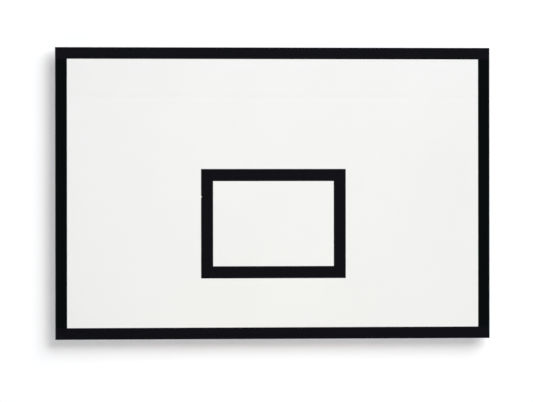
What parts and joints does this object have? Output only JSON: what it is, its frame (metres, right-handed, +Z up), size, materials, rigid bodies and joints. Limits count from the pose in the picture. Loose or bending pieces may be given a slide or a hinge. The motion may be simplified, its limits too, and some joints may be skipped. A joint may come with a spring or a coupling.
{
  "type": "basketball backboard",
  "caption": "Rectangular white basketball backboard with black border and target lines, on a plywood core and a welded steel tube frame with slotted support lugs and a ring plate.",
  "frame": {"origin": "middle of the support slots, on the plane of the lugs' rear faces", "axes": "+X to the right of someone facing the board, +Y from the playing face to the support, +Z up"},
  "size_m": [1.8, 0.065, 1.2],
  "materials": {
    "white_laminate": "satin white high-pressure laminate with a very fine pebbled grain",
    "black_film": "satin black adhesive film",
    "black_edging": "satin black edge band",
    "birch_plywood": "clear varnished birch plywood, grain along the board",
    "galvanised_steel": "hot-dip galvanised with a soft spangle",
    "zinc_plated_steel": "bright zinc plated"
  },
  "bodies": {
    "root": {"face_sheet": "white_laminate", "top_border_line": "black_film", "bottom_border_line": "black_film", "left_border_line": "black_film", "right_border_line": "black_film", "target_top_line": "black_film", "target_base_line": "black_film", "target_left_line": "black_film", "target_right_line": "black_film", "top_edge_band": "black_edging", "bottom_edge_band": "black_edging", "left_edge_band": "black_edging", "right_edge_band": "black_edging", "core_panel": "birch_plywood", "top_frame_tube": "galvanised_steel", "bottom_frame_tube": "galvanised_steel", "left_frame_tube": "galvanised_steel", "right_frame_tube": "galvanised_steel", "left_upright": "galvanised_steel", "right_upright": "galvanised_steel", "upper_tie": "galvanised_steel", "middle_tie": "galvanised_steel", "ring_rail": "galvanised_steel", "left_side_rail": "galvanised_steel", "right_side_rail": "galvanised_steel", "ring_plate": "galvanised_steel", "upper_left_lug": "galvanised_steel", "upper_right_lug": "galvanised_steel", "lower_left_lug": "galvanised_steel", "lower_right_lug": "galvanised_steel", "lug_ribs": "galvanised_steel", "panel_cleats": "galvanised_steel", "panel_screws": "zinc_plated_steel", "screw_washers": "zinc_plated_steel"}
  },
  "joints": []
}
